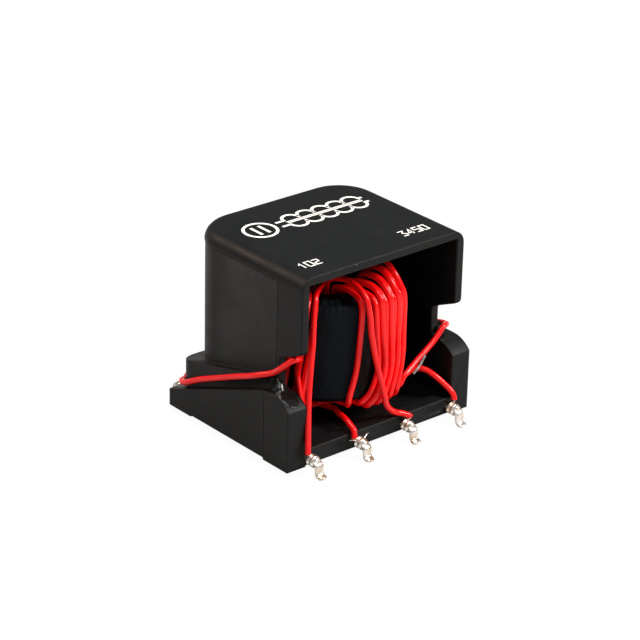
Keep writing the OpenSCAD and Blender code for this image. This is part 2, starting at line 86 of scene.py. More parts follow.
def add(tree, kind, settings=(), **links):
    """Adds a node of a kind; settings are its properties or socket values by name,
    and links are sockets, by name with underscores for spaces, or by number as _0."""
    node = tree.nodes.new("ShaderNode" + kind)
    for key, value in dict(settings).items():
        if isinstance(key, str) and hasattr(node, key):
            setattr(node, key, value)
        else:
            node.inputs[key].default_value = value
    for key, source in links.items():
        place = int(key[1:]) if key[0] == "_" else key.replace("_", " ")
        tree.links.new(source, node.inputs[place])
    return node


sheet_material, sheet_tree, sheet_shader, sheet_output = new_material("white_paper_sheet")
sheet_shader.inputs["Base Color"].default_value = linear("#bcbcbc")
sheet_shader.inputs["Roughness"].default_value = 0.9
sheet_shader.inputs["Specular IOR Level"].default_value = 0.0
# The camera sees the sheet nine tenths lit from within, so that it is clean white
# and still takes the part's shadow.
glow_share, glow_level = 0.9, 1.06
sheet_path = add(sheet_tree, "LightPath")
sheet_seen = add(sheet_tree, "Math", {"operation": "MULTIPLY", 1: glow_share},
                 _0=sheet_path.outputs["Is Camera Ray"])
sheet_glow = add(sheet_tree, "Emission", {"Color": (1, 1, 1, 1), "Strength": glow_level})
sheet_mix = add(sheet_tree, "MixShader", {}, Fac=sheet_seen.outputs[0],
                _1=sheet_shader.outputs[0], _2=sheet_glow.outputs[0])
sheet_tree.links.new(sheet_mix.outputs[0], sheet_output.inputs["Surface"])

sheet_mesh = bpy.data.meshes.new("sheet")
sheet_half = 0.6
sheet_mesh.from_pydata([(-sheet_half, -sheet_half, 0), (sheet_half, -sheet_half, 0),
                        (sheet_half, sheet_half, 0), (-sheet_half, sheet_half, 0)],
                       [], [(0, 1, 2, 3)])
sheet = bpy.data.objects.new("sheet", sheet_mesh)
bpy.context.scene.collection.objects.link(sheet)
sheet_mesh.materials.append(sheet_material)

room_fill = 0.25
room = bpy.data.worlds.new("room")
bpy.context.scene.world = room
room.use_nodes = True
room_tree = room.node_tree
room_tree.nodes.clear()
room_path = add(room_tree, "LightPath")
room_seen = add(room_tree, "Math", {"operation": "MAXIMUM"},
                _0=room_path.outputs["Is Camera Ray"], _1=room_path.outputs["Is Transmission Ray"])
room_level = add(room_tree, "MapRange", {"From Min": 0.0, "From Max": 1.0,
                                         "To Min": room_fill, "To Max": 1.0},
                 Value=room_seen.outputs[0])
room_light = add(room_tree, "Background", {"Color": (1, 1, 1, 1)},
                 Strength=room_level.outputs[0])
room_output = room_tree.nodes.new("ShaderNodeOutputWorld")
room_tree.links.new(room_light.outputs[0], room_output.inputs["Surface"])


def soft_box(name, place, target, size, power, tint):
    """A square area lamp at a place, in metres, facing a target."""
    lamp = bpy.data.lights.new(name, "AREA")
    lamp.size = size
    lamp.energy = power
    lamp.color = linear(tint)[:3]
    box = bpy.data.objects.new(name, lamp)
    bpy.context.scene.collection.objects.link(box)
    way = Vector(target) - Vector(place)
    box.matrix_world = Matrix.Translation(place) @ way.to_track_quat("-Z", "Y").to_matrix().to_4x4()


soft_box("overhead_box", (-0.02, -0.05, 0.4), (0, 0, 0), 0.3, 1.4, "#ffffff")
soft_box("front_right_box", (0.2, -0.25, 0.24), (0, 0, 0.005), 0.12, 1.8, "#fff7f0")
soft_box("rear_left_box", (-0.15, 0.25, 0.21), (0, 0, 0.01), 0.1, 0.45, "#ffe2cc")


# ---------------------------------------------------------------------------
# Case: one moulding in black glass-filled plastic. The tool left a fine matt
# grain, softly rounded edges and a small step along its parting lines.
def rider(obj, node=None):
    """Puts a finished piece on the part's one body and hides the CAD piece it stands for."""
    if obj.name not in bpy.context.scene.collection.objects:
        bpy.context.scene.collection.objects.link(obj)
    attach(obj, "root")
    if node:
        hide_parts(node)
    return obj


def smooth(mesh):
    """Marks every face smooth."""
    mesh.polygons.foreach_set("use_smooth", np.ones(len(mesh.polygons), dtype=bool))
    mesh.update()


ink_depth = 0.000006
weld, roof_within, mould_round = 2e-6, 1e-5, 0.0002
flat_within, sharp_from = math.radians(0.6), math.radians(32)
case_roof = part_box("case")[1][2]
# The case's open front and its back, in millimetres, as all routes below.
front_y, rear_y = -6.025, 6.025
case_mesh = bpy.data.meshes.new("case_moulding")
case_form = bmesh.new()
case_form.from_mesh(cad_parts["case"].data)
bmesh.ops.remove_doubles(case_form, verts=case_form.verts, dist=weld)
bmesh.ops.dissolve_limit(case_form, angle_limit=flat_within, verts=case_form.verts,
                         edges=case_form.edges)
for corner in case_form.verts:
    if corner.co.z > case_roof - roof_within:
        corner.co.z -= ink_depth
case_form.to_mesh(case_mesh)
case_form.free()
smooth(case_mesh)
case_mesh.set_sharp_from_angle(angle=sharp_from)
case = bpy.data.objects.new("case_moulding", case_mesh)

plastic, tree, shader, _ = new_material("moulded_black_pbt")
place = add(tree, "TexCoord").outputs["Object"]
# Sparked tool finish of about 0.12 mm pitch, over a slow unevenness of the mould.
grain = add(tree, "TexNoise", {"Scale": 8000.0, "Detail": 3.0, "Roughness": 0.6}, Vector=place)
cloud = add(tree, "TexNoise", {"Scale": 420.0, "Detail": 4.0, "Roughness": 0.55}, Vector=place)
tone = add(tree, "ValToRGB", {}, Fac=cloud.outputs["Fac"])
tone.color_ramp.elements[0].position = 0.3
tone.color_ramp.elements[0].color = linear("#0a0c0d")
tone.color_ramp.elements[1].position = 0.72
tone.color_ramp.elements[1].color = linear("#121415")
# Dust and flow specks: rare points 0.1 mm across.
dust = add(tree, "TexVoronoi", {"feature": "F1", "Scale": 900.0, "Randomness": 1.0},
           Vector=place)
speck = add(tree, "MapRange", {"From Min": 0.035, "From Max": 0.06, "To Min": 1.0,
                               "To Max": 0.0}, Value=dust.outputs["Distance"])
rare = add(tree, "Math", {"operation": "GREATER_THAN", 1: 0.82},
           _0=add(tree, "SeparateColor", {}, Color=dust.outputs["Color"]).outputs[0])
speck_mask = add(tree, "Math", {"operation": "MULTIPLY"}, _0=speck.outputs[0],
                 _1=rare.outputs[0])
speck_soft = add(tree, "Math", {"operation": "MULTIPLY", 1: 0.55}, _0=speck_mask.outputs[0])
skin_colour = add(tree, "Mix", {"data_type": "RGBA", 7: linear("#6d6a66")},
                  _0=speck_soft.outputs[0], _6=tone.outputs["Color"])
# Painted shade of the mould's parting line: a dark line 0.11 mm wide down each side, where the
# small step would shade, and the same painted shade along the crease it turns into under the roof's
# rounded edge.
axes = add(tree, "SeparateXYZ", {}, Vector=place)
parting_y, crease_z = front_y / 1000 + 0.00233, case_roof - 0.0009
parting_half, crease_half, side_from, groove_dark = 0.000055, 0.00003, 0.0061, 0.85
from_parting = add(tree, "Math", {"operation": "COMPARE", 1: parting_y, 2: parting_half},
                   _0=axes.outputs["Y"])
from_side = add(tree, "Math", {"operation": "GREATER_THAN", 1: side_from},
                _0=add(tree, "Math", {"operation": "ABSOLUTE"}, _0=axes.outputs["X"]).outputs[0])
below = add(tree, "Math", {"operation": "LESS_THAN", 1: crease_z}, _0=axes.outputs["Z"])
behind = add(tree, "Math", {"operation": "GREATER_THAN", 1: parting_y}, _0=axes.outputs["Y"])
at_crease = add(tree, "Math", {"operation": "COMPARE", 1: crease_z, 2: crease_half},
                _0=axes.outputs["Z"])
upright = add(tree, "Math", {"operation": "MULTIPLY"}, _0=from_parting.outputs[0],
              _1=add(tree, "Math", {"operation": "MULTIPLY"}, _0=from_side.outputs[0],
                     _1=below.outputs[0]).outputs[0])
level = add(tree, "Math", {"operation": "MULTIPLY"}, _0=at_crease.outputs[0],
            _1=behind.outputs[0])
groove = add(tree, "Math", {"operation": "MAXIMUM"}, _0=upright.outputs[0],
             _1=level.outputs[0])
# Painted shade: how much of the dark colour is mixed into the case colour along the line.
groove_shade = add(tree, "Math", {"operation": "MULTIPLY", 1: groove_dark}, _0=groove.outputs[0])
lined_colour = add(tree, "Mix", {"data_type": "RGBA", 7: linear("#020202")},
                   _0=groove_shade.outputs[0], _6=skin_colour.outputs[2])
tree.links.new(lined_colour.outputs[2], shader.inputs["Base Color"])
# The painted shade line also has its specular reflection taken away.
sheen = add(tree, "MapRange", {"From Min": 0.0, "From Max": 1.0, "To Min": 0.2, "To Max": 0.0},
            Value=groove_shade.outputs[0])
tree.links.new(sheen.outputs[0], shader.inputs["Specular IOR Level"])
gloss = add(tree, "MapRange", {"From Min": 0.3, "From Max": 0.7, "To Min": 0.42,
                               "To Max": 0.56}, Value=cloud.outputs["Fac"])
tree.links.new(gloss.outputs[0], shader.inputs["Roughness"])
# The tool's edges are rounded to about 0.2 mm all over.
edges = add(tree, "Bevel", {"samples": 6, "Radius": mould_round})
relief = add(tree, "Bump", {"Strength": 0.3, "Distance": 0.000012},
             Height=grain.outputs["Fac"], Normal=edges.outputs[0])
swell = add(tree, "Bump", {"Strength": 0.25, "Distance": 0.00006},
            Height=cloud.outputs["Fac"], Normal=relief.outputs[0])
tree.links.new(swell.outputs[0], shader.inputs["Normal"])
shader.inputs["IOR"].default_value = 1.5
case_mesh.materials.append(plastic)
rider(case, "case")


# ---------------------------------------------------------------------------
# Roof print: white pad-printed ink, 6 microns thick. A ring, the plain circuit
# sign of a transformer beside it, and two plain numbers near the front corners.
def ribbon(points, width):
    """A flat strip along a polyline: each point moved half the width to both sides
    along the mitre of its two neighbouring stretches."""
    line = np.asarray(points, dtype=float)
    run = np.diff(line, axis=0)
    run /= np.linalg.norm(run, axis=1)[:, None]
    before = np.vstack([run[:1], run])
    after = np.vstack([run, run[-1:]])
    mitre = before + after
    mitre /= np.linalg.norm(mitre, axis=1)[:, None]
    stretch = 1 / np.clip((mitre * after).sum(axis=1), 0.5, 1)
    across = np.stack([-mitre[:, 1], mitre[:, 0]], axis=1) * stretch[:, None] * width / 2
    return np.stack([line - across, line + across], axis=1)


def arc(centre, radius, start, end, count=24):
    """Points at equal angles round a circle, angles in degrees."""
    turn = np.radians(np.linspace(start, end, count))
    return np.stack([centre[0] + radius * np.cos(turn), centre[1] + radius * np.sin(turn)], axis=1)


# The ring with its two bars, in millimetres on the roof.
stroke, thin_stroke = 0.2, 0.11
ring_x, ring_y, ring_r, bar_apart, bar_half = -3.68, 1.32, 1.06, 0.3, 0.6
strips = [ribbon(arc((ring_x, ring_y), ring_r, 0, 360, 61), stroke)]
for x in (ring_x - bar_apart, ring_x + bar_apart):
    strips.append(ribbon([(x, ring_y - bar_half), (x, ring_y + bar_half)], stroke))
# The transformer sign: two rows of five humps with a core of two lines between them.
coil_r, coil_left, humps_a_row, wire_left, wire_right = 0.6, -1.6, 5, -2.25, 4.7
for row, start, end in ((1.62, 180, 0), (0.92, 180, 360)):
    humps = [arc((coil_left + coil_r * (2 * n + 1), row), coil_r - 0.01, start, end, 25)
             for n in range(humps_a_row)]
    strips.append(ribbon(np.vstack([[(wire_left, row)]] + humps + [[(wire_right, row)]]), stroke))
for height in (1.36, 1.18):
    strips.append(ribbon([(coil_left, height), (coil_left + coil_r * 2 * humps_a_row, height)],
                         thin_stroke))
# Plain numbers, each digit drawn on a square of one by one and set to size.
digit_size, digit_pitch, digit_stroke = (0.38, 0.68), 0.56, 0.1
digits = {"0": [(0, 0), (0, 1), (1, 1), (1, 0), (0, 0)], "1": [(0.2, 0.75), (0.6, 1), (0.6, 0)],
          "2": [(0, 0.95), (1, 0.95), (1, 0.55), (0, 0.4), (0, 0.02), (1, 0.02)],
          "3": [(0, 1), (1, 1), (0.45, 0.55), (1, 0.35), (0.9, 0), (0, 0)],
          "4": [(0.75, 0), (0.75, 1), (0, 0.3), (1, 0.3)],
          "5": [(1, 1), (0, 1), (0, 0.55), (1, 0.5), (1, 0), (0, 0)]}
for word, left, foot in (("102", -5.3, -4.72), ("3450", 2.72, -4.66)):
    for n, digit in enumerate(word):
        strips.append(ribbon(np.array(digits[digit]) * digit_size
                             + (left + n * digit_pitch, foot), digit_stroke))
print_points, print_faces = [], []
for strip in strips:
    first = sum(len(block) for block in print_points)
    count = len(strip)
    index = first + np.arange(count - 1)[:, None] * 2
    print_points.append(np.hstack([strip.reshape(-1, 2) / 1000,
                                   np.full((count * 2, 1), case_roof - ink_depth * 0.2)]))
    print_faces.append(index + np.array([[0, 2, 3, 1]]))
ink_mesh = bpy.data.meshes.new("roof_print")
ink_mesh.from_pydata(np.vstack(print_points).tolist(), [], np.vstack(print_faces).tolist())
ink_mesh.update()
ink = bpy.data.objects.new("roof_print", ink_mesh)

# Pad-printing ink: dull white, a little thin where the plastic's grain is high.
white_ink, tree, shader, _ = new_material("white_pad_ink")
place = add(tree, "TexCoord").outputs["Object"]
cover = add(tree, "TexNoise", {"Scale": 5200.0, "Detail": 3.0, "Roughness": 0.65}, Vector=place)
thin = add(tree, "ValToRGB", {}, Fac=cover.outputs["Fac"])
thin.color_ramp.elements[0].position = 0.2
thin.color_ramp.elements[0].color = linear("#a9a8a4")
thin.color_ramp.elements[1].position = 0.33
thin.color_ramp.elements[1].color = linear("#f3f2ee")
tree.links.new(thin.outputs["Color"], shader.inputs["Base Color"])
dull = add(tree, "Bump", {"Strength": 0.2, "Distance": 0.000006}, Height=cover.outputs["Fac"])
tree.links.new(dull.outputs[0], shader.inputs["Normal"])
shader.inputs["Roughness"].default_value = 0.6
ink_mesh.materials.append(white_ink)
rider(ink)


# ---------------------------------------------------------------------------
# Core: a pressed ferrite ring with tumbled edges, sealed with a dark coat and
# smeared with varnish where the turns were laid. It stands on a dab of epoxy.
def skin(name, rows, wrap=True, caps=True):
    """A surface through an array of rows of points: quads between each row and the
    next, joined round when wrap is set, its two ends closed when caps is set, and
    turned outwards by the sign of the volume it encloses."""
    rows = np.asarray(rows, dtype=float)
    count, width = rows.shape[:2]
    steps = np.arange(width if wrap else width - 1)
    here = (np.arange(count - 1)[:, None] * width + steps[None, :]).ravel()
    beside = (np.arange(count - 1)[:, None] * width + (steps[None, :] + 1) % width).ravel()
    quads = np.stack([here, beside, beside + width, here + width], axis=1)
    points = rows.reshape(-1, 3)
    a, b, c, d = (points[quads[:, i]] for i in range(4))
    volume = (np.cross(b - a, c - a) * a).sum() + (np.cross(c - a, d - a) * a).sum()
    faces = quads.tolist()
    if caps:
        faces += [list(range(width))[::-1], list(range((count - 1) * width, count * width))]
    if volume < 0:
        faces = [face[::-1] for face in faces]
    mesh = bpy.data.meshes.new(name)
    mesh.from_pydata(points.tolist(), [], faces)
    mesh.update()
    smooth(mesh)
    return bpy.data.objects.new(name, mesh)


def ripple(u, v, seed=0.0):
    """A smooth uneven value near -1 to 1 at two coordinates: 0.6 of a product of two
    sines, 0.25 of a third and 0.15 of a fourth, all of unlike pitch."""
    return (np.sin(1.7 * u + 2.3 * v + seed) * np.sin(2.9 * v - 0.8 * u + 2 * seed) * 0.6
            + np.sin(5.1 * u - 3.3 * v + 3 * seed) * 0.25 + np.sin(8.7 * v + 6.3 * u + seed) * 0.15)


core_low, core_high = (np.array(corner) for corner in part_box("core"))
core_middle = (core_low + core_high) / 2
core_od = (core_high[0] - core_low[0]) * 1000
core_id = 4.75
core_floor, core_top = core_low[2] * 1000, core_high[2] * 1000
core_y = core_middle[1] * 1000
core_edge, wall_middle = 0.4, 3.5


def ring_section(outside, inside, low, high, edge, per_edge=8, per_side=10):
    """Radius and height round a ring's section: four straight sides joined by
    quarter circles, counter-clockwise from the outer bottom edge."""
    corners = [(outside - edge, low + edge, -90), (outside - edge, high - edge, 0),
               (inside + edge, high - edge, 90), (inside + edge, low + edge, 180)]
    rounds = [arc((r, z), edge, turn, turn + 90, per_edge) for r, z, turn in corners]
    sides = [np.linspace(rounds[i][-1], rounds[(i + 1) % 4][0], per_side)[1:-1] for i in range(4)]
    return np.vstack([block for pair in zip(rounds, sides) for block in pair])


section = ring_section(core_od / 2, core_id / 2, core_floor, core_top, core_edge)
round_turn = np.radians(np.linspace(0, 360, 193)[:-1])
section_r = section[None, :, 0]
section_z = section[None, :, 1]
sag = 0.012 * ripple(round_turn[:, None] * 4, section_z * 0.9 + section_r, seed=0.6) - 0.012
core_r = section_r + sag * np.sign(section_r - wall_middle)
core_rows = np.stack([core_r * np.cos(round_turn)[:, None],
                      core_y + core_r * np.sin(round_turn)[:, None],
                      section_z + 0 * round_turn[:, None]], axis=-1) / 1000
core_rows = np.concatenate([core_rows, core_rows[:1]], axis=0)
core = skin("core_ring", core_rows, wrap=True, caps=False)
core_form = bmesh.new()
core_form.from_mesh(core.data)
bmesh.ops.remove_doubles(core_form, verts=core_form.verts, dist=1e-8)
core_form.to_mesh(core.data)
core_form.free()

ferrite, tree, shader, _ = new_material("varnished_ferrite")
place = add(tree, "TexCoord").outputs["Object"]
# Varnish runs downwards: the pattern is stretched six times along the height.
runs = add(tree, "Mapping", {"Scale": (1.0, 1.0, 0.16)}, Vector=place)
streak = add(tree, "TexNoise", {"Scale": 2600.0, "Detail": 5.0, "Roughness": 0.62},
             Vector=runs.outputs[0])
press = add(tree, "TexNoise", {"Scale": 1500.0, "Detail": 6.0, "Roughness": 0.7}, Vector=place)
shade = add(tree, "ValToRGB", {}, Fac=streak.outputs["Fac"])
shade.color_ramp.elements[0].position = 0.36
shade.color_ramp.elements[0].color = linear("#040304")
shade.color_ramp.elements[1].position = 0.74
shade.color_ramp.elements[1].color = linear("#24181a")
middle = shade.color_ramp.elements.new(0.56)
middle.color = linear("#0a0608")
tree.links.new(shade.outputs["Color"], shader.inputs["Base Color"])
wet = add(tree, "MapRange", {"From Min": 0.3, "From Max": 0.7, "To Min": 0.3, "To Max": 0.62},
          Value=streak.outputs["Fac"])
tree.links.new(wet.outputs[0], shader.inputs["Roughness"])
shader.inputs["Specular IOR Level"].default_value = 0.08
pits = add(tree, "Bump", {"Strength": 0.5, "Distance": 0.00003}, Height=press.outputs["Fac"])
drips = add(tree, "Bump", {"Strength": 0.6, "Distance": 0.00006}, Height=streak.outputs["Fac"],
            Normal=pits.outputs[0])
tree.links.new(drips.outputs[0], shader.inputs["Normal"])
core.data.materials.append(ferrite)
rider(core, "core")

# ---------------------------------------------------------------------------
# Core tape: a patch of dark coated tape over the core's bare front, cut by hand,
# so its side is ragged, and folded over the top edge, where it lifts a little.
tape_low, tape_t = core_floor + 0.32, 0.00003
fold_turn = np.radians(np.linspace(8, 90, 10))
tape_up = np.concatenate([np.linspace(tape_low, core_top - core_edge, 46),
                          core_top - core_edge + core_edge * np.sin(fold_turn)])
tape_in = np.concatenate([np.zeros(46), core_edge * (1 - np.cos(fold_turn))])
tape_in = np.append(tape_in, [core_edge + 0.15, core_edge + 0.34, core_edge + 0.5])
tape_up = np.append(tape_up, [core_top + 0.04, core_top + 0.1, core_top + 0.19])
share = np.linspace(0, 1, 90)
rag = 0.9 * ripple(tape_up * 2.6, tape_up * 1.1, seed=1.3) + 0.5 * np.sin(tape_up * 11)
tape_right = -104.6 + rag
tape_left = -178 + 0 * rag
tape_turn = np.radians(tape_left[:, None] + (tape_right - tape_left)[:, None] * share[None, :])
crinkle = 0.016 * ripple(tape_turn * 30, tape_up[:, None] * 3, seed=0.2)
lift = 0.025 + 0.02 * (ripple(tape_turn * 9, tape_up[:, None] * 0.9, seed=2.2) + 1) / 2 \
    + np.where(tape_up[:, None] > core_top - 0.45, crinkle * 2.2, crinkle * 0.3)
tape_r = core_od / 2 - tape_in[:, None] + lift
tape_z = tape_up[:, None] + np.where(tape_up[:, None] > core_top - 0.02,
                                     0.07 * ripple(tape_turn * 24, share[None, :] * 3, seed=4.0), 0)
tape = skin("core_tape", np.stack([tape_r * np.cos(tape_turn), core_y + tape_r * np.sin(tape_turn),
                                   tape_z], axis=-1) / 1000, wrap=False, caps=False)
tape_body = tape.modifiers.new("thickness", "SOLIDIFY")
tape_body.thickness = tape_t
tape_body.offset = 0.0

film, tree, shader, _ = new_material("coated_cloth_tape")
place = add(tree, "TexCoord").outputs["Object"]
mottle = add(tree, "TexNoise", {"Scale": 1900.0, "Detail": 5.0, "Roughness": 0.6}, Vector=place)
fibre = add(tree, "TexNoise", {"Scale": 9000.0, "Detail": 2.0, "Roughness": 0.5}, Vector=place)
film_tone = add(tree, "ValToRGB", {}, Fac=mottle.outputs["Fac"])
film_tone.color_ramp.elements[0].position = 0.3
film_tone.color_ramp.elements[0].color = linear("#060b0f")
film_tone.color_ramp.elements[1].position = 0.75
film_tone.color_ramp.elements[1].color = linear("#0d151b")
tree.links.new(film_tone.outputs["Color"], shader.inputs["Base Color"])
film_relief = add(tree, "Bump", {"Strength": 0.35, "Distance": 0.00002},
                  Height=fibre.outputs["Fac"])
film_dent = add(tree, "Bump", {"Strength": 0.4, "Distance": 0.00005},
                Height=mottle.outputs["Fac"], Normal=film_relief.outputs[0])
tree.links.new(film_dent.outputs[0], shader.inputs["Normal"])
shader.inputs["Roughness"].default_value = 0.6
shader.inputs["Specular IOR Level"].default_value = 0.09
tape.data.materials.append(film)
rider(tape)


# ---------------------------------------------------------------------------
# Windings: three lengths of triple-insulated red wire, 0.37 mm over the plastic,
# laid by hand round the core, their ends stripped to the tinned conductor.
wire_r, bare_r, wire_gap = 0.185, 0.08, 0.03
step = 2 * wire_r + wire_gap
face_r = core_od / 2 + wire_r + wire_gap
hole_r = core_id / 2 - wire_r - wire_gap
hole_pitch = math.degrees(1.04 * step / hole_r)
turn_pitch = 4.4
edge_run = core_edge + wire_r + wire_gap
core_h = core_top - core_floor
over_z = core_top + wire_r + wire_gap
under_z = core_floor - wire_r - wire_gap
slack_h, step_out = 1.15, 0.34
left_turns, bundle, first_share = 5, 8, 4
lead_pitch, lead_h, wrap_r, wrap_y = 3.81, 0.93, 0.37, 0.3


def at(r, angle, z):
    """A point at a radius and an angle in degrees about the core's axis."""
    turn = math.radians(angle)
    return [r * math.cos(turn), core_y + r * math.sin(turn), z]


def eye(n):
    """The angle of place n in the hole, counted from the front right."""
    return -108 - n * hole_pitch


def down(angle):
    """Three points straight down the hole at one angle."""
    return [at(hole_r, angle, z) for z in (core_top - 0.42, core_floor + core_h * 0.5,
                                           core_floor + 0.5)]


def rise(spots, hole, lift, slack):
    """One pass: out from under the core, up its face, over the top and down the hole.
    spots are the angles at the bottom edge, just above it, half way and at the top."""
    bow = slack * slack_h
    out = face_r + 0.02 + slack * 0.08
    foot, waist, half, head = spots
    return [
        at(face_r - edge_run, foot, under_z - lift * 0.75),
        at(face_r - 0.16 + lift * 0.6, foot, core_floor - 0.06 - lift * 0.5),
        at(face_r + 0.03 + lift, waist, core_floor + 0.65),
        at(out + lift * 0.8, half, core_floor + core_h * 0.35),
        at(out + 0.03 + lift * 0.4, half * 0.35 + head * 0.65, core_floor + core_h * 0.68),
        at(out + lift * 0.25, head, core_top - 0.4),
        at(face_r - 0.15 - 0.08 * slack + lift * 0.45, head,
           core_top + 0.06 + 0.13 * slack + lift * 0.35),
        at(face_r - edge_run, head * 0.97 + hole * 0.03, over_z + 0.03 + bow * 0.55 + lift * 0.8),
        at((face_r + hole_r) / 2, head * 0.75 + hole * 0.25,
           over_z + 0.03 + bow * 0.97 + lift * 0.75),
        at(hole_r + 0.36, hole * 0.85 + head * 0.15, over_z + bow * 0.55 + lift * 0.7),
    ] + down(hole)


def under(hole, foot, lift):
    """The way under the core, from the hole to the foot of the next pass."""
    return [at(hole_r + 0.45, hole * 0.85 + foot * 0.15, under_z - 0.04 - lift * 0.4),
            at((face_r + hole_r) / 2, hole * 0.47 + foot * 0.53, under_z - lift * 0.85)]


def wire_end(lead, side, lean):
    """The stripped end on a lead's wrap and the end of the insulation above it."""
    turn = math.radians(lean)
    return [[(lead - 1.5) * lead_pitch + (wrap_r + out) * math.sin(turn),
             side * (rear_y + wrap_y), lead_h + (wrap_r + out) * math.cos(turn)]
            for out in (0.01, wire_r + wire_gap)]


def left_spots(k):
    """Angles of pass k of the left winding at the four heights of its rise."""
    return [first - k * 5.3 - max(k - 1, 0) * 3.5 for first in (-146, -146, -143.5, -138.5)]


def right_spots(k):
    """Angles of pass k of the bundle at the four heights of its rise."""
    return [-101.6 + k * turn_pitch * 1.04, -95 + k * turn_pitch * 0.74,
            -89 + k * turn_pitch * 0.72, -93 + k * turn_pitch]


def right_pass(k):
    """Pass k of the bundle: every second one stands out in front of its neighbours."""
    return rise(right_spots(k), eye(-k), k % 2 * step_out, 0.15 + 0.78 * k / (bundle - 1))


# The case's ledge and hood, which the rear winding lies along: widths, the ledge's
# rounded rear corners, and the two slopes, each from a distance and a height.
ledge_w, ledge_corner, ledge_straight, hood_w = 13.66, 1.2, 10.3, 12.84
ledge_from, ledge_h, ledge_slope = 2.33, 5.73, math.tan(math.radians(13.8))
ramp_from, ramp_h, ramp_slope = 2.4, 5.0, math.tan(math.radians(20.9))
side_x = ledge_w / 2 + wire_r + wire_gap
hood_x = hood_w / 2 + wire_r + wire_gap


def climb(y):
    """Height of the sloping top of the ledge at a distance from the open front."""
    return ledge_h - (y - ledge_from) * ledge_slope


def ramp(y):
    """Height of the ramp on the base at a distance from the open front."""
    return ramp_h - (y - ramp_from) * ramp_slope


def rear_run(side, lead):
    """From a rear lead round the ledge's corner and forward along its side."""
    def corner(angle, lift):
        turn = math.radians(angle)
        reach = ledge_corner + wire_r + wire_gap
        y = ledge_straight + reach * math.sin(turn)
        return [side * (ledge_w / 2 - ledge_corner + reach * math.cos(turn)), front_y + y,
                ramp(y) + lift]

    def ledge(y, part):
        return [side * side_x, front_y + y, ramp(y) * (1 - part) + climb(y) * part]

    lead_x = (lead - 1.5) * lead_pitch
    return wire_end(lead, 1, side * -20) + [
        [side * (abs(lead_x) - 0.2), rear_y + 0.08, lead_h + 0.86], corner(88, 0.4),
        corner(45, 0.45), corner(5, 0.41), ledge(8.9, 0.39), ledge(6.9, 0.565), ledge(5.3, 0.76)]


left_route = wire_end(0, -1, -28) + [
    [-5.93, front_y - 0.22, 1.9], [-5.8, front_y - 0.05, 3.1], [-5.6, front_y + 0.2, 4.7],
    [-5.25, front_y + 0.5, 6.4], [-4.9, front_y + 0.75, 8.1], [-4.65, front_y + 1.0, 9.7],
    [-4.1, front_y + 1.5, 10.75], at(3.4, -135, over_z + 0.78),
    at(hole_r + 0.42, -139, over_z + 0.42)] + down(eye(3))
for k in range(left_turns):
    left_route += under(eye(3 + k), left_spots(k)[0], 0)
    left_route += rise(left_spots(k), eye(4 + k), 0, 0.15 + 0.05 * k)
left_route += [
    at(hole_r + 0.3, eye(7.7), under_z - 0.9 * step), at(2.5, -168, under_z - 2 * step),
    at(2.4, -136, under_z - 2.35 * step), [-1.5, front_y + 2.64, 1.93],
    [-1.84, front_y + 1.82, 2.08], [-2.16, front_y + 0.8, 2.19], [-2.21, front_y + 0.3, 2.02],
    [-2.2, front_y - 0.1, 1.76]] + wire_end(1, -1, -42)[::-1]

right_route = wire_end(2, -1, 34) + [
    [1.82, front_y - 0.12, 1.66], [1.4, front_y + 0.02, 1.8], [0.92, front_y + 0.02, 2.12],
    [0.4, front_y - 0.15, 2.68], [0.05, front_y - 0.36, 3.3], [-0.32, front_y - 0.38, 4.5],
    [-0.74, front_y - 0.3, 6.1], [-1.0, front_y - 0.12, 7.8], [-1.05, front_y + 0.06, 9.2],
    [-1.1, front_y + 0.42, 10.15], [-1.12, front_y + 1.35, 10.62], [-1.2, front_y + 2.3, 10.7],
    at(hole_r + 0.35, -127, over_z + 0.65)] + down(eye(2))
right_route += under(eye(2), -112.5, 0)
right_route += rise([-112.5, -112, -107.7, -104.5], eye(1), 0, 0.25)
for k in range(first_share):
    right_route += under(eye(1 - k), right_spots(k)[0], k % 2 * step_out) + right_pass(k)
right_route += [
    at(hole_r + 0.05, eye(-3), core_floor - 0.05), at(hole_r + 0.3, -71, under_z - 1.35 * step),
    at(3.1, -60, under_z - 1.75 * step), at(3.8, -50, under_z - 1.6 * step),
    at(4.5, -44.5, under_z - 0.8 * step), [3.85, front_y + 1.93, 3.0],
    [4.3, front_y + 1.7, 3.32], [4.75, front_y + 1.2, 3.3], [5.22, front_y + 0.6, 2.85],
    [5.72, front_y + 0.1, 2.2], [5.9, front_y - 0.16, 1.84]] + wire_end(3, -1, 22)[::-1]

rear_route = rear_run(-1, 0) + [
    [-side_x, front_y + 4.3, climb(4.3) - 0.1], [-side_x + 0.03, front_y + 3.3, climb(3.3) + 0.11],
    [-hood_x - 0.02, front_y + 2.4, climb(2.4) + 0.26], [-hood_x, front_y + 1.55, 6.63],
    [-hood_x + 0.3, front_y + 0.85, 7.29], [-5.75, front_y + 0.95, 7.15],
    [-5.2, front_y + 1.6, 6.5], [-4.8, front_y + 2.25, 5.7],
    at(face_r + step + 0.02, -148, 4.9), at(face_r + step, -146, 3.7),
    at(face_r + 0.24, -145, core_floor - 0.15), at(face_r - 0.3, -144, under_z - step),
    at(3.83, -144.5, under_z - 1.15 * step), at(2.66, -126, under_z - 1.4 * step),
    at(2.6, -101, under_z - 1.75 * step), at(3.1, -81, under_z - 1.6 * step),
    at(3.7, -81, under_z - 0.4 * step)]
for k in range(first_share, bundle):
    if k > first_share:
        rear_route += under(eye(1 - k), right_spots(k)[0], k % 2 * step_out)
    rear_route += right_pass(k)
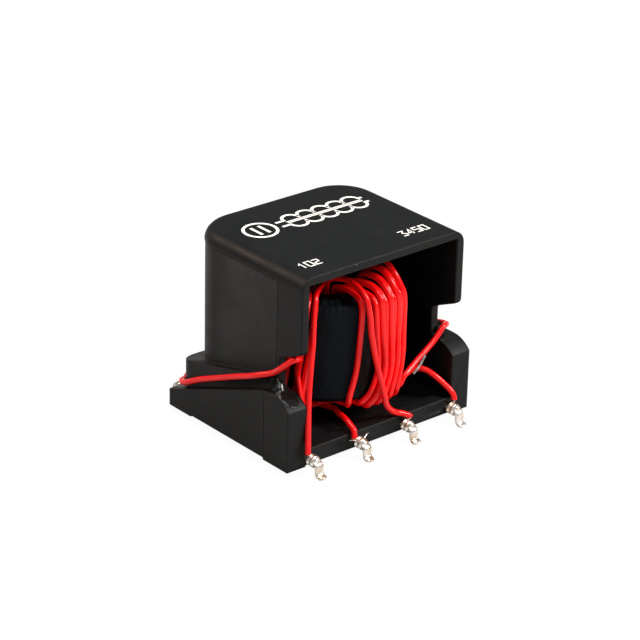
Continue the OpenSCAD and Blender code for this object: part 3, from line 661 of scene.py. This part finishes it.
rear_route += [
    at(hole_r + 0.45, -34, under_z - 0.04), at(3.6, -52, under_z), at(4.55, -62, under_z),
    [2.1, front_y + 0.66, 3.25], [2.45, front_y + 0.6, 3.8], [3.5, front_y + 0.85, 4.25],
    [5.2, front_y + 1.12, 5.09], [hood_x - 0.5, front_y + 1.26, 5.79],
    [hood_x - 0.1, front_y + 1.45, 5.79], [side_x - 0.095, front_y + 1.83, 5.63],
    [side_x, front_y + 2.6, 5.43], [side_x, front_y + 3.6, climb(3.6) - 0.3]] + rear_run(1, 3)[::-1]


def curve(route, steps):
    """A Catmull-Rom curve: between two points, a cubic whose slope at each of them
    is half the line joining their neighbours."""
    p = np.asarray(route, dtype=float)
    a = np.vstack([p[:1], p[:-2]])
    b, c = p[:-1], p[1:]
    d = np.vstack([p[2:], p[-1:]])
    t = (np.arange(steps) / steps)[None, :, None]
    a, b, c, d = (block[:, None, :] for block in (a, b, c, d))
    line = 0.5 * (2 * b + (c - a) * t + (2 * a - 5 * b + 4 * c - d) * t ** 2
                  + (3 * b - a - 3 * c + d) * t ** 3)
    return np.vstack([line.reshape(-1, 3), p[-1:]])


def sweep(line, radii, count):
    """Rings of points round a line: each ring's circle lies square to the line, and
    its first spoke is carried along the line without twist."""
    tangent = np.gradient(line, axis=0)
    tangent /= np.linalg.norm(tangent, axis=1)[:, None]
    spoke = np.empty_like(line)
    last = np.array([0.6, 0.8, 0.0])
    for i, way in enumerate(tangent):
        last = last - (last @ way) * way
        last /= np.linalg.norm(last)
        spoke[i] = last
    other = np.cross(tangent, spoke)
    turn = np.arange(count) / count * 2 * np.pi
    return line[:, None, :] + radii[:, None, None] * (
        np.cos(turn)[None, :, None] * spoke[:, None, :]
        + np.sin(turn)[None, :, None] * other[:, None, :])


# Extruded fluoropolymer insulation: clear bright red with a wet gloss, its surface
# a little wavy and rubbed where it was handled.
insulation, tree, shader, _ = new_material("red_extruded_insulation")
place = add(tree, "TexCoord").outputs["Object"]
wave = add(tree, "TexNoise", {"Scale": 1500.0, "Detail": 3.0, "Roughness": 0.5}, Vector=place)
rub = add(tree, "TexNoise", {"Scale": 380.0, "Detail": 4.0, "Roughness": 0.6}, Vector=place)
red = add(tree, "ValToRGB", {}, Fac=rub.outputs["Fac"])
red.color_ramp.elements[0].position = 0.3
red.color_ramp.elements[0].color = linear("#ec0a0e")
red.color_ramp.elements[1].position = 0.75
red.color_ramp.elements[1].color = linear("#fb1417")
tree.links.new(red.outputs["Color"], shader.inputs["Base Color"])
shine = add(tree, "MapRange", {"From Min": 0.3, "From Max": 0.7, "To Min": 0.17, "To Max": 0.28},
            Value=rub.outputs["Fac"])
tree.links.new(shine.outputs[0], shader.inputs["Roughness"])
uneven = add(tree, "Bump", {"Strength": 0.15, "Distance": 0.00003}, Height=wave.outputs["Fac"])
tree.links.new(uneven.outputs[0], shader.inputs["Normal"])
shader.inputs["IOR"].default_value = 1.45
shader.inputs["Specular IOR Level"].default_value = 0.42

# Tinned copper: a bright warm grey metal with drawing marks.
conductor, tree, shader, _ = new_material("tinned_copper")
place = add(tree, "TexCoord").outputs["Object"]
drawn = add(tree, "TexNoise", {"Scale": 6000.0, "Detail": 3.0}, Vector=place)
tinned = add(tree, "ValToRGB", {}, Fac=drawn.outputs["Fac"])
tinned.color_ramp.elements[0].position = 0.3
tinned.color_ramp.elements[0].color = linear("#b9a68f")
tinned.color_ramp.elements[1].position = 0.65
tinned.color_ramp.elements[1].color = linear("#dcd7cf")
tree.links.new(tinned.outputs["Color"], shader.inputs["Base Color"])
shader.inputs["Metallic"].default_value = 1.0
shader.inputs["Roughness"].default_value = 0.3

# Ten steps to a point of the route, twenty sides; the thickness wavers by a hundredth.
steps, sides, waver = 10, 20, 0.012
for name, route in (("front_left_winding", left_route), ("front_right_winding", right_route),
                    ("rear_winding", rear_route)):
    line = curve(route, steps)
    count = len(line)
    index = np.arange(count)
    stripped = (index <= steps - 2) | (index >= count - 1 - (steps - 2))
    flow = np.linspace(0, 1, count)
    full = wire_r * (1 + waver * np.sin(flow * 310) * np.sin(flow * 97))
    radii = np.where(stripped, bare_r, full)
    mouth = (index == steps - 1) | (index == count - steps)
    radii[mouth] = wire_r * 0.97
    wire = skin(name + "_wire", sweep(line, radii, sides) / 1000)
    wire.data.materials.append(insulation)
    wire.data.materials.append(conductor)
    faces = len(wire.data.polygons)
    row = np.arange(faces) // sides
    bare = (row < steps - 2) | (row >= count - 1 - (steps - 2))
    bare[-2:] = True
    wire.data.polygons.foreach_set("material_index", bare.astype(np.int32))
    wire.data.update()
    rider(wire, name)


# ---------------------------------------------------------------------------
# Leads: tinned copper-alloy strip formed to a gull wing. Dip soldering has left
# them thickly coated, so their edges are round and their faces slightly lumpy.
lead_w, lead_t, lead_out, foot_out, bend_r, tail = 0.5, 0.25, 1.03, 1.55, 0.28, 0.7
tin_t, tin_lean, tin_lumps, roundness = 0.06, 0.03, 0.02, 3.2

tin, tree, shader, _ = new_material("dipped_solder")
place = add(tree, "TexCoord").outputs["Object"]
pool = add(tree, "TexNoise", {"Scale": 1700.0, "Detail": 4.0, "Roughness": 0.55}, Vector=place)
frost = add(tree, "TexNoise", {"Scale": 7000.0, "Detail": 2.0}, Vector=place)
metal = add(tree, "ValToRGB", {}, Fac=pool.outputs["Fac"])
metal.color_ramp.elements[0].position = 0.34
metal.color_ramp.elements[0].color = linear("#d8bd93")
metal.color_ramp.elements[1].position = 0.56
metal.color_ramp.elements[1].color = linear("#fdf8f0")
tree.links.new(metal.outputs["Color"], shader.inputs["Base Color"])
wetting = add(tree, "MapRange", {"From Min": 0.3, "From Max": 0.7, "To Min": 0.1, "To Max": 0.24},
              Value=pool.outputs["Fac"])
tree.links.new(wetting.outputs[0], shader.inputs["Roughness"])
lumps = add(tree, "Bump", {"Strength": 0.14, "Distance": 0.00004}, Height=pool.outputs["Fac"])
frosted = add(tree, "Bump", {"Strength": 0.1, "Distance": 0.00001}, Height=frost.outputs["Fac"],
              Normal=lumps.outputs[0])
tree.links.new(frosted.outputs[0], shader.inputs["Normal"])
shader.inputs["Metallic"].default_value = 0.85

upper = arc((lead_out - bend_r, lead_h - bend_r), bend_r, 90, 0, 12)
lower = arc((lead_out + bend_r, lead_t / 2 + bend_r), bend_r, 180, 270, 12)
lead_line = np.vstack([np.linspace([-tail, lead_h], upper[0], 14)[:-1], upper,
                       np.linspace(upper[-1], lower[0], 6)[1:-1], lower,
                       np.linspace(lower[-1], [foot_out - 0.02, lead_t / 2], 10)[1:]])
along = np.concatenate([[0], np.cumsum(np.linalg.norm(np.diff(lead_line, axis=0), axis=1))])
slope = np.gradient(lead_line, axis=0)
slope /= np.linalg.norm(slope, axis=1)[:, None]
round_the = np.arange(28) / 28 * 2 * np.pi
for word, side in (("front", -1), ("rear", 1)):
    for n in range(4):
        seed = 1.7 * n + (3.1 if side > 0 else 0.0)
        tip = np.clip((along[-1] - along) / 0.2, 0, 1)
        width = (lead_w / 2 + tin_t) * np.sqrt(np.clip(1 - (1 - tip) ** 2, 0.02, 1))
        thick = (lead_t / 2 - 0.004) * np.clip(0.45 + tip * 0.8, 0, 1)
        free = np.clip((lead_line[:, 0] - 0.1) / 0.4, 0, 1)
        coat = free * tin_lumps * ripple(along * 5, along * 2.0, seed=seed)
        # Superellipse: |x/w|^n + |y/t|^n = 1, between a rectangle and an oval.
        swell = (np.abs(np.cos(round_the)) ** roundness
                 + np.abs(np.sin(round_the)) ** roundness) ** (-1 / roundness)
        x = (width + coat)[:, None] * (np.cos(round_the) * swell)[None, :]
        t = (thick + coat * 0.4)[:, None] * (np.sin(round_the) * swell)[None, :]
        normal = np.stack([-slope[:, 1], slope[:, 0]], axis=1)
        out = lead_line[:, None, 0] + normal[:, None, 0] * t
        up = np.maximum(lead_line[:, None, 1] + normal[:, None, 1] * t, 0.0)
        rows = np.stack([(n - 1.5) * lead_pitch + tin_lean + x,
                         side * (rear_y + np.minimum(out, foot_out)), up], axis=-1)
        lead = skin(f"{word}_lead_{n + 1}_strip", rows / 1000)
        lead.data.materials.append(tin)
        rider(lead, f"{word}_lead_{n + 1}")


# ---------------------------------------------------------------------------
# Solder joints: the stripped conductor is wound twice round each used lead, and
# solder has filled the wraps into one bright lump with two rings.
wrap_pitch, neck_r, wrap_swell, wrap_lean = 0.36, 0.26, 0.12, 0.05
wrap_out = np.linspace(0, 1, 40)
wrap_along = wrap_y - 0.19 + wrap_out * (wrap_pitch + 0.4)
for word, side, n in (("front", -1, 0), ("front", -1, 1), ("front", -1, 2), ("front", -1, 3),
                      ("rear", 1, 0), ("rear", 1, 3)):
    seed = 2.3 * n + (1.1 if side > 0 else 0.4)
    turn = np.arange(48) / 48 * 2 * np.pi
    wind = wrap_along[:, None] + wrap_lean * np.sin(turn)[None, :]
    hump = (np.exp(-((wind - wrap_y) / 0.12) ** 2)
            + np.exp(-((wind - wrap_y - wrap_pitch) / 0.13) ** 2))
    body = neck_r + wrap_swell * np.clip(hump, 0, 1)
    body = body + 0.012 * ripple(turn[None, :] * 1.0, wind * 6, seed=seed)
    close = np.sqrt(np.clip(1 - (2 * wrap_out - 1) ** 8, 0.0, 1))[:, None]
    body = body * (0.35 + 0.65 * close)
    squash = 1 - 0.07 * np.cos(2 * turn)[None, :]
    rows = np.stack([(n - 1.5) * lead_pitch + body / squash * np.cos(turn)[None, :],
                     side * (rear_y + wind), lead_h + body * squash * np.sin(turn)[None, :]],
                    axis=-1)
    joint = skin(f"{word}_joint_{n + 1}_solder", rows / 1000)
    joint.data.materials.append(tin)
    rider(joint, f"{word}_joint_{n + 1}")

# Loose tails of the conductor that stand out of the second lead's wraps.
tails = (([-2.2, -6.33, 1.1], [-2.4, -6.3, 1.2], [-2.62, -6.24, 1.22], 0.05),
         ([-1.66, -6.5, 1.2], [-1.4, -6.42, 1.33], [-1.16, -6.36, 1.36], 0.055))
for n, (a, b, c, thick) in enumerate(tails):
    line = curve([a, b, c], 8)
    radii = thick * np.sqrt(np.linspace(1, 0.03, len(line)))
    tail_end = skin(f"conductor_tail_{n + 1}", sweep(line, radii, 12) / 1000)
    tail_end.data.materials.append(conductor)
    rider(tail_end)


# ---------------------------------------------------------------------------
# Adhesive: black epoxy dabbed on by hand and cured glossy, at the left notch, at the
# right one and under the core. A scrap of clear film was left by the right wire.
epoxy, tree, shader, _ = new_material("cured_black_epoxy")
place = add(tree, "TexCoord").outputs["Object"]
flow = add(tree, "TexNoise", {"Scale": 1300.0, "Detail": 3.0}, Vector=place)
epoxy_tone = add(tree, "ValToRGB", {}, Fac=flow.outputs["Fac"])
epoxy_tone.color_ramp.elements[0].color = linear("#050606")
epoxy_tone.color_ramp.elements[1].color = linear("#121314")
tree.links.new(epoxy_tone.outputs["Color"], shader.inputs["Base Color"])
sink = add(tree, "Bump", {"Strength": 0.08, "Distance": 0.00004}, Height=flow.outputs["Fac"])
tree.links.new(sink.outputs[0], shader.inputs["Normal"])
shader.inputs["Roughness"].default_value = 0.2
shader.inputs["Specular IOR Level"].default_value = 0.3

# The left dab ran from the notch down the ledge's front and out over the shoulder.
run = curve([[-6.47, front_y + 1.98, 5.9], [-6.52, front_y + 1.9, 5.66],
             [-6.58, front_y + 1.72, 5.36], [-6.63, front_y + 1.42, 5.1],
             [-6.66, front_y + 1.05, 4.98], [-6.66, front_y + 0.7, 4.86],
             [-6.64, front_y + 0.38, 4.68], [-6.62, front_y + 0.16, 4.52]], 8)
reach = curve([[0.05, 0.04, 0], [0.19, 0.15, 0], [0.34, 0.25, 0], [0.47, 0.2, 0],
               [0.54, 0.1, 0], [0.53, 0.055, 0], [0.42, 0.035, 0], [0.16, 0.02, 0]], 8)
turn = np.radians(np.arange(40) * 360 / 40)
way = np.gradient(run, axis=0)
outward = np.stack([0 * way[:, 0], way[:, 2], -way[:, 1]], axis=1)
outward *= -1 / np.linalg.norm(outward, axis=1)[:, None]
uneven = 1 + 0.1 * ripple(np.arange(len(run))[:, None] * 0.12, turn[None, :], seed=0.9)
height = reach[:, None, 1] * np.sin(turn) * uneven
rows = run[:, None, :] + height[:, :, None] * outward[:, None, :]
rows[:, :, 0] += reach[:, None, 0] * np.cos(turn) * uneven
dab = skin("left_wire_dab", rows / 1000)
dab.data.materials.append(epoxy)
rider(dab, "left_wire_bond")

polar = np.radians(np.linspace(2, 178, 40))[:, None]
turn = turn[None, :]
right_r, right_middle = 0.33, np.array((6.47, front_y + 1.98, 5.31))
lump = right_r * (0.92 + 0.08 * ripple(turn + 1, polar * 1.6, seed=1.9))
dab = skin("right_wire_dab", (right_middle + np.stack([
    lump * np.sin(polar) * np.cos(turn), lump * np.sin(polar) * np.sin(turn),
    lump * np.cos(polar) + 0 * turn], axis=-1)) / 1000)
dab.data.materials.append(epoxy)
rider(dab, "right_wire_bond")

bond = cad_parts["core_bond"]
bond.data.materials.clear()
bond.data.materials.append(epoxy)

film_t = 0.00002
scrap_line = curve([[3.2, front_y + 0.66, 3.72], [3.55, front_y + 0.62, 4.0],
                    [3.95, front_y + 0.72, 4.3], [4.3, front_y + 0.8, 4.6]], 8)
spread = np.array([0.075, 0.026, -0.026, -0.075])
bend_out = 0.02 * ripple(np.arange(len(scrap_line)) * 0.5, np.ones(len(scrap_line)), seed=0.3)
scrap_rows = scrap_line[:, None, :] + np.stack([
    spread[None, :] * 0.5 + 0 * scrap_line[:, :1], -np.abs(spread)[None, :] + bend_out[:, None],
    -spread[None, :] * 1.0 + bend_out[:, None]], axis=-1)
scrap = skin("film_scrap", scrap_rows / 1000, wrap=False, caps=False)
scrap_body = scrap.modifiers.new("thickness", "SOLIDIFY")
scrap_body.thickness = film_t

clear_film, tree, shader, _ = new_material("clear_polyester_film")
place = add(tree, "TexCoord").outputs["Object"]
haze = add(tree, "TexNoise", {"Scale": 3500.0, "Detail": 4.0}, Vector=place)
milk = add(tree, "ValToRGB", {}, Fac=haze.outputs["Fac"])
milk.color_ramp.elements[0].position = 0.35
milk.color_ramp.elements[0].color = linear("#6b625e")
milk.color_ramp.elements[1].position = 0.65
milk.color_ramp.elements[1].color = linear("#bdb6b0")
tree.links.new(milk.outputs["Color"], shader.inputs["Base Color"])
crease = add(tree, "Bump", {"Strength": 0.6, "Distance": 0.00004}, Height=haze.outputs["Fac"])
tree.links.new(crease.outputs[0], shader.inputs["Normal"])
shader.inputs["Roughness"].default_value = 0.3
shader.inputs["Transmission Weight"].default_value = 0.25
scrap.data.materials.append(clear_film)
rider(scrap)


bpy.context.scene.view_settings.view_transform = "Standard"
